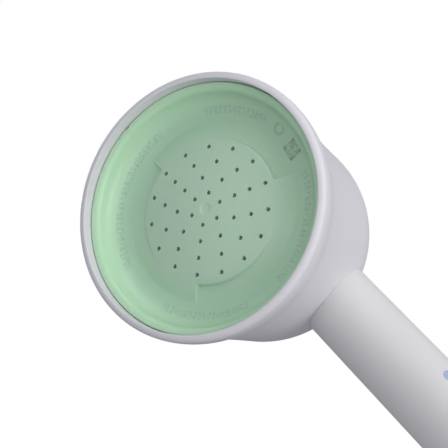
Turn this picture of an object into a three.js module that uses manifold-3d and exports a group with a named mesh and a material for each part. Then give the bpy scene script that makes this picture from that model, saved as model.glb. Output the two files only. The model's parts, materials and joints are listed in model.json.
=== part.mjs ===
// Handheld filter shower head: a bell-shaped head on a straight round handle.
//
// Millimetres, +Z up. The handle stands along +Z with the hose thread at its foot, and the
// origin is the centre of the thread's end face. The spray leaves towards -Y and downwards.
//
// Every piece of the head is drawn in the head's own frame: its +Z is the spray direction, its
// +Y points away from the handle, and z = 0 is the front plane of the rim. A depth is a distance
// behind that plane, so a point at depth t lies at z = -t.

import * as THREE from "three";
import { mergeVertices } from "three/addons/utils/BufferGeometryUtils.js";
import Module from "manifold-3d";

const wasm = await Module();
wasm.setup();

// ---------------------------------------------------------------- driving dimensions

const RIM_RADIUS = 41.5; // outside of the bell at its rim
const HEAD_DEPTH = 72; // rim plane to the back of the bell
const HANDLE_RADIUS = 11.75;
const AXES_MEET_Z = 212; // height where the handle's axis meets the head's axis
const AXES_MEET_DEPTH = 59.6; // the same point, measured behind the rim plane
const SPRAY_BELOW_LEVEL = 17.4; // degrees that the spray points below horizontal

const WALL = 2.35; // moulded wall of the bell
const GAP = 0.3; // clearance between neighbouring pieces
const ROUND = 36; // sides of a large circle
const SMALL_ROUND = 20; // sides of a circle in the handle

const PLATE_CLOCK = 92.3; // degrees from +X at which the holes and the ramps of the plate start
const RAMPS = 3; // wedge-shaped finger ramps round the spray field
const HOLE_RINGS = [6, 9, 12, 15]; // holes in each ring, from the middle out
const HOLE_RING_STEP = 4.97;
const HOLE_RADIUS = 0.55;

const THREAD_RADIUS = 10.48; // G 1/2 pipe thread, crest
const THREAD_ROOT = 9.32;
const THREAD_PITCH = 1.814;
const THREAD_TURNS = 6;

// ---------------------------------------------------------------- helpers

const radians = THREE.MathUtils.degToRad;

// Rewrites a geometry as one closed surface: shared corners, no empty triangles, faces out.
function closedSurface(geometry) {
  const bare = geometry.clone();
  bare.deleteAttribute("normal");
  bare.deleteAttribute("uv");
  const merged = mergeVertices(bare, 1e-4);
  const place = merged.getAttribute("position");
  const corner = (i) => new THREE.Vector3().fromBufferAttribute(place, i);
  const triangles = [];
  let volume = 0;
  for (let i = 0; i < merged.index.count; i += 3) {
    const [a, b, c] = [0, 1, 2].map((k) => merged.index.getX(i + k));
    if (a === b || b === c || c === a) {
      continue;
    }
    triangles.push([a, b, c]);
    volume += corner(a).dot(corner(b).cross(corner(c)));
  }
  const facingOut = volume > 0 ? triangles : triangles.map(([a, b, c]) => [a, c, b]);
  merged.setIndex(facingOut.flat());
  return merged;
}

function solidOf(geometry) {
  const surface = closedSurface(geometry);
  return new wasm.Manifold(
    new wasm.Mesh({
      numProp: 3,
      vertProperties: new Float32Array(surface.getAttribute("position").array),
      triVerts: new Uint32Array(surface.index.array),
    }),
  );
}

function geometryOf(solid) {
  const mesh = solid.getMesh();
  const geometry = new THREE.BufferGeometry();
  geometry.setAttribute("position", new THREE.BufferAttribute(mesh.vertProperties, 3));
  geometry.setIndex(new THREE.BufferAttribute(mesh.triVerts, 1));
  geometry.computeVertexNormals();
  return geometry;
}

function joined(base, ...others) {
  return geometryOf(others.reduce((sum, next) => sum.add(solidOf(next)), solidOf(base)));
}

function cut(base, ...tools) {
  return geometryOf(tools.reduce((rest, tool) => rest.subtract(solidOf(tool)), solidOf(base)));
}

// Turns a profile of [radius, z] points about the Z axis.
function turned(profile, sides = ROUND) {
  const points = profile.map(([radius, z]) => new THREE.Vector2(radius, z));
  return closedSurface(new THREE.LatheGeometry(points, sides).rotateX(Math.PI / 2));
}

// The same for a profile that doesn't touch the axis: it closes on its first point.
function turnedRing(profile, sides = ROUND) {
  return turned([...profile, profile[0]], sides);
}

// A plain tube between two heights.
function tube(inner, outer, low, high, sides = SMALL_ROUND) {
  const profile = [
    [inner, low],
    [outer, low],
    [outer, high],
    [inner, high],
  ];
  return turnedRing(profile, sides);
}

function rod(radius, low, high, sides = SMALL_ROUND) {
  const profile = [
    [0, low],
    [radius, low],
    [radius, high],
    [0, high],
  ];
  return turned(profile, sides);
}

// A round sealing ring; its section is a small polygon.
function sealingRing(middleRadius, sectionRadius, z, sides = 32, sectionSides = 6) {
  return closedSurface(
    new THREE.TorusGeometry(middleRadius, sectionRadius, sectionSides, sides).translate(0, 0, z),
  );
}

// A sector of a ring, centred on an angle in degrees.
function sector(inner, outer, low, high, middle, span, steps = 6) {
  const start = radians(middle - span / 2);
  const end = radians(middle + span / 2);
  const outline = new THREE.Shape();
  outline.absarc(0, 0, outer, start, end, false);
  outline.absarc(0, 0, inner, end, start, true);
  const options = { depth: high - low, bevelEnabled: false, curveSegments: steps };
  return closedSurface(new THREE.ExtrudeGeometry(outline, options).translate(0, 0, low));
}

// Rods of one size on a circle, for drilling or for posts.
function rodsOnCircle(count, circleRadius, rodRadius, low, high, startAngle = 0, sides = 6) {
  return Array.from({ length: count }, (_, i) => {
    const angle = radians(startAngle + (360 * i) / count);
    const x = circleRadius * Math.cos(angle);
    const y = circleRadius * Math.sin(angle);
    return rod(rodRadius, low, high, sides).translate(x, y, 0);
  });
}

// The points of a path, with a number of divisions for each of its curves.
function sampled(path, divisions) {
  const points = path.curves.flatMap((curve, i) => curve.getPoints(divisions[i]).slice(1));
  return [path.curves[0].getPoint(0), ...points];
}

// Depths along a profile of [radius, depth] points become heights in the head's frame.
const fromDepths = (profile) => profile.map(([radius, depth]) => [radius, -depth]);

// ---------------------------------------------------------------- frames and materials

const head = new THREE.Group();
head.rotation.x = radians(90 + SPRAY_BELOW_LEVEL);
head.position.set(
  0,
  -AXES_MEET_DEPTH * Math.cos(radians(SPRAY_BELOW_LEVEL)),
  AXES_MEET_Z - AXES_MEET_DEPTH * Math.sin(radians(SPRAY_BELOW_LEVEL)),
);
head.updateMatrixWorld(true);
const headFromPart = head.matrixWorld.clone().invert();

const part = new THREE.Group();
part.add(head);

const finishes = {
  whitePlastic: { color: "#d8d8d9", roughness: 0.42 },
  greenPlastic: { color: "#9bbfa6", roughness: 0.35 },
  naturalPlastic: { color: "#e6e4da", roughness: 0.5 },
  clearPlastic: { color: "#c9d6dc", roughness: 0.15 },
  resin: { color: "#d9c98f", roughness: 0.3 },
  fibre: { color: "#f1efe8", roughness: 0.8 },
  blueAcetal: { color: "#4a6fa5", roughness: 0.4 },
  blackRubber: { color: "#222222", roughness: 0.7 },
  steel: { color: "#b9bcc0", roughness: 0.25, metalness: 1 },
};

function add(parent, name, geometry, finish) {
  const mesh = new THREE.Mesh(geometry, new THREE.MeshStandardMaterial(finishes[finish]));
  mesh.name = name;
  parent.add(mesh);
}

// ---------------------------------------------------------------- head: bell

// The bell's outside, from the front of the rim to the middle of its back. A rolled rim flares
// into a shallow waist, then a slightly tapered drum, then a full rounded back.
const WAIST = { radius: 38.9, depth: 12.5 };
const DRUM_END = { radius: 33.6, depth: 47 };

function bellOutside(extra) {
  const outline = new THREE.Path();
  outline.moveTo(RIM_RADIUS - 1.5, 0);
  outline.quadraticCurveTo(RIM_RADIUS, 0, RIM_RADIUS, 1.2);
  outline.bezierCurveTo(RIM_RADIUS, 4.5, WAIST.radius + 1, 9, WAIST.radius, WAIST.depth);
  outline.bezierCurveTo(WAIST.radius - 2.6, 24, DRUM_END.radius + 1.3, 36, DRUM_END.radius, DRUM_END.depth);
  outline.bezierCurveTo(DRUM_END.radius - 1, 58, 26, HEAD_DEPTH, 0, HEAD_DEPTH);
  return sampled(outline, [2, 3, 3, 5]).map(({ x, y }) => [x > 0 ? x + extra : 0, y + extra]);
}

// The inside: a pocket for the plate, a conical seat, a wall for the bayonet ring, and the
// filter chamber behind it.
const POCKET_RADIUS = 39.2;
const RING_WALL = { radius: 36.1, front: 11.4, back: 17.6 };

function bellInside() {
  const chamber = new THREE.Path();
  chamber.moveTo(35.3, RING_WALL.back + 0.6);
  chamber.bezierCurveTo(34, 26, DRUM_END.radius + 0.3 - WALL, 38, DRUM_END.radius - WALL, DRUM_END.depth);
  chamber.bezierCurveTo(30.3, 56.5, 24, HEAD_DEPTH - WALL, 0, HEAD_DEPTH - WALL);
  return [
    [POCKET_RADIUS + 0.5, 0.1],
    [POCKET_RADIUS, 0.9],
    [POCKET_RADIUS, 5.6],
    [RING_WALL.radius, RING_WALL.front],
    [RING_WALL.radius, RING_WALL.back],
    ...sampled(chamber, [3, 4]).map(({ x, y }) => [x, y]),
  ];
}

// A hollow spigot runs down inside the handle and takes the end of the water tube.
const SPIGOT_RADIUS = 9.2;
const SPIGOT_FOOT_Z = 154;
const SOCKET_RADIUS = 6.7;
const SOCKET_TOP_Z = 170;
const DUCT_RADIUS = 5;
const BELL_WALL_Z = 184; // a height on the handle's axis that is just inside the bell

function buildHeadShell() {
  const block = turned(fromDepths([[0, 0], ...bellOutside(0)]));
  const inside = bellInside();
  const chamber = turned(fromDepths([[0, -1], [POCKET_RADIUS + 0.5, -1], ...inside]));
  const spigot = rod(SPIGOT_RADIUS, SPIGOT_FOOT_Z, BELL_WALL_Z).applyMatrix4(headFromPart);
  const duct = rod(DUCT_RADIUS, SPIGOT_FOOT_Z - 1, AXES_MEET_Z - 20).applyMatrix4(headFromPart);
  const socket = rod(SOCKET_RADIUS, SPIGOT_FOOT_Z - 1, SOCKET_TOP_Z).applyMatrix4(headFromPart);
  return cut(joined(block, spigot), chamber, duct, socket);
}

// ---------------------------------------------------------------- head: spray plate

const PLATE_EDGE = { radius: 38.9, depth: 3.4, lip: 2.5 };
const PLATE_THICKNESS = 2.1;
const DOME_APEX_DEPTH = 4.9;
const DOME_RADIUS = 84; // radius of the sphere that the spray field lies on
const FIELD_RADIUS = 22.6; // edge of the drilled field, where the ramps begin
const FLAT = { inner: 28.4, depth: 9.7 }; // flat ring outside the ramps
const SKIRT = { inner: 30.8, outer: 32.5, end: 17 };
const LUG = { outer: 34.3, front: 15.3, back: 16.9, span: 28 };
const LUG_CLOCK = PLATE_CLOCK + 60;
const DIMPLE = { radius: 1.7, deep: 0.35 }; // gate mark in the middle of the field
const NOTCH = { deep: 1.2, wide: 1.6, high: 1.4, clock: PLATE_CLOCK - 5 }; // index mark on the edge

const domeDepth = (radius) =>
  DOME_APEX_DEPTH + DOME_RADIUS - Math.sqrt(DOME_RADIUS ** 2 - radius ** 2);

// A bowl climbs from the flat ring and gets steeper up to the lip at the plate's edge.
function plateBowl() {
  const brink = { radius: PLATE_EDGE.radius - PLATE_EDGE.lip - 0.5, depth: PLATE_EDGE.depth + 1.4 };
  const bowl = new THREE.Path();
  bowl.moveTo(FLAT.inner + 1, FLAT.depth);
  bowl.bezierCurveTo(33.2, FLAT.depth, brink.radius - 0.6, 7.5, brink.radius, brink.depth);
  return sampled(bowl, [4]).map(({ x, y }) => [x, y]);
}

function plateProfile() {
  const across = [0, 0.33, 0.66, 1].map((share) => share * FLAT.inner);
  const front = across.map((radius) => [radius, domeDepth(radius)]);
  const back = across
    .filter((radius) => radius < FIELD_RADIUS)
    .map((radius) => [radius, domeDepth(radius) + PLATE_THICKNESS])
    .reverse();
  const flange = FLAT.depth + PLATE_THICKNESS - 0.5;
  return [
    ...front,
    ...plateBowl(),
    [PLATE_EDGE.radius - PLATE_EDGE.lip, PLATE_EDGE.depth],
    [PLATE_EDGE.radius - 0.4, PLATE_EDGE.depth],
    [PLATE_EDGE.radius, PLATE_EDGE.depth + 0.4],
    [PLATE_EDGE.radius, 5.2],
    [35.8, flange],
    [SKIRT.outer, flange],
    [SKIRT.outer, SKIRT.end],
    [SKIRT.inner, SKIRT.end],
    [SKIRT.inner, FLAT.depth + PLATE_THICKNESS],
    ...back,
  ];
}

// One ramp: flush with the dome at its far end, and sunk to the flat ring at its upright step.
function rampCutter(startAngle) {
  const span = 360 / RAMPS;
  const steps = 12;
  const corners = [];
  for (let i = 0; i <= steps; i += 1) {
    const angle = radians(startAngle + (span * i) / steps);
    const sunk = 1 - i / steps;
    for (const radius of [FIELD_RADIUS, FLAT.inner + 0.1]) {
      const surface = domeDepth(radius);
      const floor = surface + sunk * Math.max(FLAT.depth - surface, 0);
      for (const depth of [floor + 0.02, surface - 1]) {
        corners.push(radius * Math.cos(angle), radius * Math.sin(angle), -depth);
      }
    }
  }
  // Four corners to a section: inner floor, inner top, outer floor, outer top.
  const loop = [0, 1, 3, 2];
  const faces = [0, 1, 3, 0, 3, 2];
  for (let i = 0; i < steps; i += 1) {
    for (let k = 0; k < 4; k += 1) {
      const near = 4 * i + loop[k];
      const nearNext = 4 * i + loop[(k + 1) % 4];
      faces.push(near, near + 4, nearNext, nearNext, near + 4, nearNext + 4);
    }
  }
  faces.push(...[0, 3, 1, 0, 2, 3].map((corner) => corner + 4 * steps));
  const geometry = new THREE.BufferGeometry();
  geometry.setAttribute("position", new THREE.Float32BufferAttribute(corners, 3));
  geometry.setIndex(faces);
  return closedSurface(geometry);
}

function buildSprayPlate() {
  const lugs = Array.from({ length: RAMPS }, (_, i) =>
    sector(SKIRT.outer - 0.5, LUG.outer, -LUG.back, -LUG.front, LUG_CLOCK + 120 * i, LUG.span, 4),
  );
  const ramps = Array.from({ length: RAMPS }, (_, i) => rampCutter(PLATE_CLOCK + 120 * i));
  const behind = -FLAT.depth - PLATE_THICKNESS;
  const ahead = -PLATE_EDGE.depth;
  const holes = HOLE_RINGS.flatMap((count, ring) =>
    rodsOnCircle(count, HOLE_RING_STEP * (ring + 1), HOLE_RADIUS, behind, ahead, PLATE_CLOCK),
  );
  const dimple = rod(DIMPLE.radius, -DOME_APEX_DEPTH - DIMPLE.deep, ahead, 12);
  const notch = new THREE.BoxGeometry(NOTCH.deep, NOTCH.wide, NOTCH.high)
    .translate(PLATE_EDGE.radius, 0, ahead - 0.4)
    .rotateZ(radians(NOTCH.clock));
  const plate = joined(turned(fromDepths(plateProfile())), ...lugs);
  return cut(plate, ...ramps, ...holes, dimple, notch);
}

// ---------------------------------------------------------------- head: bayonet and filter

const TWIST = 30; // degrees from locked to free
const RING_FRONT = 13.5;
const RING_LIP_BACK = 15;
const RING_BACK = 17.3;
const RING_INNER = SKIRT.outer + 0.5;
const RING_POCKET = 34.6;
const STOP_SPAN = 6; // degrees that each end stop takes

function buildBayonetRing() {
  const profile = [
    [RING_INNER, RING_FRONT],
    [RING_WALL.radius - GAP, RING_FRONT],
    [RING_WALL.radius - GAP, RING_BACK],
    [RING_POCKET, RING_BACK],
    [RING_POCKET, RING_LIP_BACK],
    [RING_INNER, RING_LIP_BACK],
  ];
  const thirds = [0, 120, 240];
  const reach = LUG.span / 2 + 1 + STOP_SPAN / 2;
  const stop = (middle) =>
    sector(RING_INNER, RING_POCKET + 0.4, -RING_BACK, -RING_LIP_BACK + 0.2, middle, STOP_SPAN, 2);
  const stops = thirds.flatMap((turn) => [
    stop(LUG_CLOCK - reach + turn),
    stop(LUG_CLOCK + TWIST + reach + turn),
  ]);
  const top = -RING_FRONT + 1;
  const entries = thirds.map((turn) =>
    sector(SKIRT.outer, RING_POCKET, -RING_LIP_BACK - 0.1, top, LUG_CLOCK + TWIST + turn, LUG.span + 3, 4),
  );
  return cut(joined(turnedRing(fromDepths(profile)), ...stops), ...entries);
}

const GRID = { front: 17.8, back: 19.4, radius: 34.5, ringStep: 8.5, holeRadius: 2.4 };

function buildSupportGrid() {
  const disc = rod(GRID.radius, -GRID.back, -GRID.front, ROUND);
  const [behind, ahead] = [-GRID.back - 1, -GRID.front + 1];
  const holes = [6, 12, 14].flatMap((count, ring) =>
    rodsOnCircle(count, GRID.ringStep * (ring + 1), GRID.holeRadius, behind, ahead),
  );
  return cut(disc, ...holes);
}

const CUP = { front: 19.8, back: 46.5, mouth: 32.9, end: 30.2, wall: 1.4, base: 1.6, drain: 8 };
const PORTS = { count: 8, circle: 20 }; // water passages through the cup's base and the baffle
const POTTING = { front: 20.2, back: 25.5, radius: 31 };
const BUNDLE = { back: 43, radius: 28.5 };

function buildCartridgeCup() {
  const shell = turnedRing(
    fromDepths([
      [CUP.mouth, CUP.front],
      [CUP.mouth, POTTING.back + 1],
      [CUP.end, CUP.back],
      [CUP.drain, CUP.back],
      [CUP.drain, CUP.back - CUP.base],
      [CUP.end - CUP.wall, CUP.back - CUP.base],
      [CUP.mouth - CUP.wall, POTTING.back + 1],
      [CUP.mouth - CUP.wall, CUP.front],
    ]),
  );
  const [behind, ahead] = [-CUP.back - 1, -CUP.back + CUP.base + 1];
  return cut(shell, ...rodsOnCircle(PORTS.count, PORTS.circle, 3.6, behind, ahead));
}

function buildFibreBundle() {
  const loops = new THREE.Path();
  loops.moveTo(BUNDLE.radius, POTTING.back + GAP);
  loops.lineTo(BUNDLE.radius - 1, BUNDLE.back - 8);
  loops.quadraticCurveTo(BUNDLE.radius - 2, BUNDLE.back, 16, BUNDLE.back);
  const outside = sampled(loops, [1, 3]).map(({ x, y }) => [x, y]);
  return turned(fromDepths([[0, POTTING.back + GAP], ...outside, [0, BUNDLE.back - 2]]), 32);
}

const BAFFLE = { front: 49, back: 50.6, radius: 25 };

function buildBafflePlate() {
  const disc = rod(BAFFLE.radius, -BAFFLE.back, -BAFFLE.front, ROUND);
  const feet = rodsOnCircle(3, 13, 1.6, -BAFFLE.front - 0.5, -CUP.back - GAP, 30, 8);
  const [behind, ahead] = [-BAFFLE.back - 1, -BAFFLE.front + 1];
  const holes = rodsOnCircle(PORTS.count, PORTS.circle, 1.8, behind, ahead);
  return cut(joined(disc, ...feet), ...holes);
}

add(head, "head_shell", buildHeadShell(), "whitePlastic");
add(head, "spray_plate", buildSprayPlate(), "greenPlastic");
add(head, "plate_o_ring", sealingRing(34.4, 0.75, -12.4), "blackRubber");
add(head, "bayonet_ring", buildBayonetRing(), "naturalPlastic");
add(head, "support_grid", buildSupportGrid(), "naturalPlastic");
add(head, "potting_disc", rod(POTTING.radius, -POTTING.back, -POTTING.front, ROUND), "resin");
add(head, "fibre_bundle", buildFibreBundle(), "fibre");
add(head, "cartridge_cup", buildCartridgeCup(), "clearPlastic");
add(head, "cartridge_o_ring", sealingRing(33.7, 0.5, -22), "blackRubber");
add(head, "baffle_plate", buildBafflePlate(), "naturalPlastic");

// ---------------------------------------------------------------- handle

const COLLAR = { low: 12.7, high: 14.6, radius: 11.2 };
const HANDLE_FOOT_Z = COLLAR.high + GAP;
const HANDLE_BORE = 9.5;
const SHANK_RADIUS = 9.2;

// The handle ends against the bell, so its top takes the bell's outline with a small gap.
function buildHandleTube() {
  const outline = [
    [HANDLE_BORE, HANDLE_FOOT_Z],
    [HANDLE_RADIUS - 1.6, HANDLE_FOOT_Z],
    [HANDLE_RADIUS - 0.6, HANDLE_FOOT_Z + 1],
    [HANDLE_RADIUS, HANDLE_FOOT_Z + 12],
    [HANDLE_RADIUS, AXES_MEET_Z],
    [HANDLE_BORE, AXES_MEET_Z],
  ];
  const bell = turned(fromDepths([[0, -10], [RIM_RADIUS + GAP, -10], ...bellOutside(GAP)]));
  bell.applyMatrix4(head.matrixWorld);
  return cut(turnedRing(outline, 32), bell);
}

const BORE = 7.4; // bore of the hose nipple, which holds the valve and the strainer
const WEB = { low: 29.5, high: 31, radius: 5.2 };
const NIPPLE_TOP_Z = 44;
const SHANK_GROOVE = { low: 34, high: 35.6, radius: 8 };

function buildInletNipple() {
  const ridges = Array.from({ length: THREAD_TURNS }, (_, turn) => {
    const foot = 0.9 + turn * THREAD_PITCH;
    return [
      [THREAD_ROOT, foot],
      [THREAD_RADIUS, foot + THREAD_PITCH / 2],
    ];
  });
  const outside = [
    [THREAD_ROOT, 0],
    ...ridges.flat(),
    [THREAD_ROOT, COLLAR.low],
    [COLLAR.radius, COLLAR.low],
    [COLLAR.radius, COLLAR.high],
    [SHANK_RADIUS, COLLAR.high],
    [SHANK_RADIUS, SHANK_GROOVE.low],
    [SHANK_GROOVE.radius, SHANK_GROOVE.low],
    [SHANK_GROOVE.radius, SHANK_GROOVE.high],
    [SHANK_RADIUS, SHANK_GROOVE.high],
    [SHANK_RADIUS, NIPPLE_TOP_Z],
  ];
  const bore = [
    [SOCKET_RADIUS, NIPPLE_TOP_Z],
    [SOCKET_RADIUS, WEB.high],
    [WEB.radius, WEB.high],
    [WEB.radius, WEB.low],
    [BORE, WEB.low],
    [BORE, 0],
  ];
  return turnedRing([...outside, ...bore], SMALL_ROUND);
}

const TUBE = { outer: 5, inner: 3.9, low: WEB.high + GAP, high: SOCKET_TOP_Z - GAP };
const SEAL = { inner: TUBE.outer + GAP, outer: SOCKET_RADIUS - GAP, height: 2.4 };

// A sleeve of rubber round one end of the water tube.
const tubeSeal = (foot) => tube(SEAL.inner, SEAL.outer, foot, foot + SEAL.height);

add(part, "handle_tube", buildHandleTube(), "whitePlastic");
add(part, "inlet_nipple", buildInletNipple(), "whitePlastic");
add(part, "nipple_o_ring", sealingRing(8.75, 0.42, 34.8, SMALL_ROUND), "blackRubber");
add(part, "water_tube", tube(TUBE.inner, TUBE.outer, TUBE.low, TUBE.high), "clearPlastic");
add(part, "tube_upper_seal", tubeSeal(SPIGOT_FOOT_Z + 3), "blackRubber");
add(part, "tube_lower_seal", tubeSeal(NIPPLE_TOP_Z - 6), "blackRubber");

// ---------------------------------------------------------------- inlet: strainer, regulator, valve

const INSERT_RADIUS = BORE - GAP - 0.05; // inserts slide into the nipple's bore

function buildStrainer() {
  const rim = tube(5.6, INSERT_RADIUS, 0.8, 2.8);
  const sieve = rod(5.8, 1.4, 2.2);
  const holes = [6, 10].flatMap((count, ring) => rodsOnCircle(count, 2.1 * (ring + 1), 0.6, 0, 3));
  return cut(joined(sieve, rim), ...holes);
}

const REGULATOR = { low: 3.2, floor: 4.6, high: 7.2 };

function buildRegulatorBody() {
  const floor = rod(INSERT_RADIUS, REGULATOR.low, REGULATOR.floor);
  const wall = tube(6, INSERT_RADIUS, REGULATOR.floor - 0.1, REGULATOR.high);
  const post = rod(2.2, REGULATOR.floor - 0.1, REGULATOR.high - 0.2, 12);
  const ports = rodsOnCircle(6, 3.6, 0.7, 3, 5);
  return cut(joined(floor, wall, post), ...ports);
}

const VALVE = { low: 7.6, seatTop: 9.2, hubLow: 24, hubHigh: 25.6, high: 28.8 };
const SEAT_BORE = 3.9;
const CAGE_BORE = 5.9;
const HUB_RADIUS = 2.6;
const STEM = { radius: 1.2, top: 27 };

function buildValveCage() {
  const wall = turnedRing(
    [
      [SEAT_BORE, VALVE.low],
      [INSERT_RADIUS, VALVE.low],
      [INSERT_RADIUS, VALVE.high],
      [CAGE_BORE, VALVE.high],
      [CAGE_BORE, VALVE.seatTop],
      [SEAT_BORE, VALVE.seatTop],
    ],
    SMALL_ROUND,
  );
  const hub = rod(HUB_RADIUS, VALVE.hubLow, VALVE.hubHigh, 12);
  const spokes = [0, 60, 120].map((angle) =>
    new THREE.BoxGeometry(2 * CAGE_BORE + 0.6, 1.2, VALVE.hubHigh - VALVE.hubLow)
      .translate(0, 0, (VALVE.hubLow + VALVE.hubHigh) / 2)
      .rotateZ(radians(angle)),
  );
  const guide = rod(STEM.radius + GAP, VALVE.hubLow - 1, VALVE.hubHigh + 1, 12);
  return cut(joined(wall, hub, ...spokes), guide);
}

const DISC = { low: 10.5, high: 11.7, radius: 4.9 };
const NOSE = { low: 9.4, radius: 2.7 };

function buildPoppet() {
  return turned(
    [
      [0, NOSE.low - 1.2],
      [1.4, NOSE.low - 0.8],
      [NOSE.radius, NOSE.low],
      [NOSE.radius, DISC.low],
      [DISC.radius, DISC.low],
      [DISC.radius, DISC.high],
      [2.2, DISC.high + 0.5],
      [STEM.radius, DISC.high + 1.4],
      [STEM.radius, STEM.top],
      [0, STEM.top],
    ],
    SMALL_ROUND,
  );
}

const SPRING = { low: 12.3, high: VALVE.hubLow - GAP, radius: 3.3, wire: 0.35, turns: 6 };

class Coil extends THREE.Curve {
  getPoint(share, target = new THREE.Vector3()) {
    const angle = 2 * Math.PI * SPRING.turns * share;
    const travel = SPRING.high - SPRING.low - 2 * SPRING.wire;
    const z = SPRING.low + SPRING.wire + travel * share;
    return target.set(SPRING.radius * Math.cos(angle), SPRING.radius * Math.sin(angle), z);
  }
}

function buildSpring() {
  const wire = new THREE.Shape();
  wire.absarc(0, 0, SPRING.wire, 0, 2 * Math.PI, false);
  const options = {
    extrudePath: new Coil(),
    steps: 8 * SPRING.turns,
    curveSegments: 3,
    bevelEnabled: false,
  };
  return closedSurface(new THREE.ExtrudeGeometry(wire, options));
}

add(part, "inlet_strainer", buildStrainer(), "steel");
add(part, "flow_regulator_body", buildRegulatorBody(), "blueAcetal");
add(part, "flow_regulator_ring", sealingRing(3.7, 0.75, 5.9, SMALL_ROUND), "blackRubber");
add(part, "check_valve_cage", buildValveCage(), "blueAcetal");
add(part, "check_valve_poppet", buildPoppet(), "naturalPlastic");
add(part, "poppet_seal", tube(NOSE.radius + GAP, DISC.radius - 0.1, 9.5, 10.2), "blackRubber");
add(part, "check_valve_spring", buildSpring(), "steel");

export default part;
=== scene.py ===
# %% [markdown]
# # A handheld filter shower head
#
# The object is a white bell on a straight round handle. Its mouth is closed by a green spray plate
# with 42 fine holes, and a hollow-fibre filter sits behind that plate. The engineering model gives
# the place and the size of every piece. This lesson builds the fine surface of each one, its
# plastic, rubber or steel finish, and a simple photo studio.
#
# The first cell loads the engineering model as a fixed frame. Nothing in it is moved: each fine
# piece is drawn at the same place and then stands in for the plain one.

# %% Load the frame
import json
import random
from collections import namedtuple
from math import atan2, cos, degrees, hypot, pi, radians, sin, sqrt, tau

import bpy
import bmesh
from mathutils import Matrix, Vector


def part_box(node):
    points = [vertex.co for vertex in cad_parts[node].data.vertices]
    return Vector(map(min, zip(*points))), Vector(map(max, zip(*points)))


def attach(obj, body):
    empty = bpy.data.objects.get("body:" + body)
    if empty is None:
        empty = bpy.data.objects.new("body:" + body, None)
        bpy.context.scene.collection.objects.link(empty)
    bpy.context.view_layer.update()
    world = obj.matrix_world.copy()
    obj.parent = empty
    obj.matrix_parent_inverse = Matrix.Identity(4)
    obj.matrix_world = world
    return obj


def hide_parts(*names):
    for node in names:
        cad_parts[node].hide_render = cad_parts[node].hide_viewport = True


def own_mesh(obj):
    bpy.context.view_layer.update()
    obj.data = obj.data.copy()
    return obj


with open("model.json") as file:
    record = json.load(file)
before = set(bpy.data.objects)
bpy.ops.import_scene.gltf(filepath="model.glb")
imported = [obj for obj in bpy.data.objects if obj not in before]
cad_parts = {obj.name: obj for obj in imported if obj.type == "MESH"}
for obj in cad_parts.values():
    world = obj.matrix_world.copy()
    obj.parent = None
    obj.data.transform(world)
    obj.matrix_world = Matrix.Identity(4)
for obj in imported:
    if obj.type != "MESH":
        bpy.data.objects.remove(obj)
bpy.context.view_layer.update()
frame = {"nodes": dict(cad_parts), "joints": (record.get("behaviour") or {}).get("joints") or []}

MM = 0.001

# %% [markdown]
# ## The head's own frame
#
# The handle stands along Z, but the head is tilted. Drawing the bell and the plate is easiest in a
# frame of their own: X to the side, Y away from the handle, and Z out along the spray, with zero at
# the front plane of the rim. The joint that the spray plate turns on already states that centre and
# that direction, so the frame is read from it, and no angle is typed twice.
#
# A depth is a distance behind the rim plane, so a point at depth t has Z = -t.

# %% Head frame
twist = next(joint for joint in frame["joints"] if joint["name"] == "spray_plate_twist")
rim_centre = Vector(twist["pos_m"])
spray = Vector(twist["axis"]).normalized()
side = Vector((1, 0, 0))
away = spray.cross(side)

HEAD = Matrix((side, away, spray)).transposed().to_4x4()
HEAD.translation = rim_centre
UPRIGHT = Matrix.Identity(4)
print("spray points", round(degrees(atan2(-spray.z, -spray.y)), 1), "degrees below level")

# %% [markdown]
# ## Measuring the frame
#
# The plain solids are already the right size, so their sizes are measured and not typed again. One
# helper gives what a turned piece needs: the lowest and highest point along its axis, and its
# largest radius, in millimetres.

# %% Sizes from the frame
Size = namedtuple("Size", "low high radius")


def measured(node, place=UPRIGHT):
    to_place = place.inverted()
    points = [to_place @ vertex.co / MM for vertex in frame["nodes"][node].data.vertices]
    heights = [point.z for point in points]
    return Size(min(heights), max(heights), max(hypot(point.x, point.y) for point in points))


HANDLE = measured("handle_tube")
BELL = measured("head_shell", HEAD)
RIM_RADIUS = (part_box("head_shell")[1].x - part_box("head_shell")[0].x) / 2 / MM
BELL_DEPTH = -BELL.low
meet = -rim_centre.y / spray.y
AXES_MEET_Z = (rim_centre.z + spray.z * meet) / MM
print("handle radius", round(HANDLE.radius, 2), "rim radius", round(RIM_RADIUS, 2))
print("the two axes meet at z", round(AXES_MEET_Z, 1))

# %% [markdown]
# ## Shapes as loops of points
#
# Almost every piece here is round, so one idea draws them all. A form is a stack of loops with the
# same number of points, and the skin between two neighbouring loops is a band of quads. A loop of
# one point is a pole, where the skin closes. A lathe turns a profile into such loops, and a sweep
# carries a small circle along a path. Lofting is chosen over sculpting or modifiers because the
# sizes of a moulded piece are known exactly.
#
# A form is a pair: its points in millimetres, and its faces.

# %% Lofts and lathes
def loft(loops, ring=False):
    """Skins a list of loops. With ring=True the last loop joins the first, as on a tyre."""
    points = [point for loop in loops for point in loop]
    starts = [0]
    for loop in loops:
        starts.append(starts[-1] + len(loop))
    pairs = [(i, i + 1) for i in range(len(loops) - 1)]
    if ring:
        pairs.append((len(loops) - 1, 0))
    faces = []
    for a, b in pairs:
        count = max(len(loops[a]), len(loops[b]))
        for i in range(count):
            k = (i + 1) % count
            on_a = [starts[a]] if len(loops[a]) == 1 else [starts[a] + i, starts[a] + k]
            on_b = [starts[b]] if len(loops[b]) == 1 else [starts[b] + k, starts[b] + i]
            faces.append(on_a + on_b)
    return points, faces


def circle(radius, z, sides):
    if radius == 0:
        return [(0, 0, z)]
    turns = [tau * i / sides for i in range(sides)]
    return [(radius * cos(turn), radius * sin(turn), z) for turn in turns]


def lathe(profile, sides=96):
    """Turns [radius, z] points. A profile that doesn't start on the axis closes on itself."""
    return loft([circle(r, z, sides) for r, z in profile], ring=profile[0][0] != 0)


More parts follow.
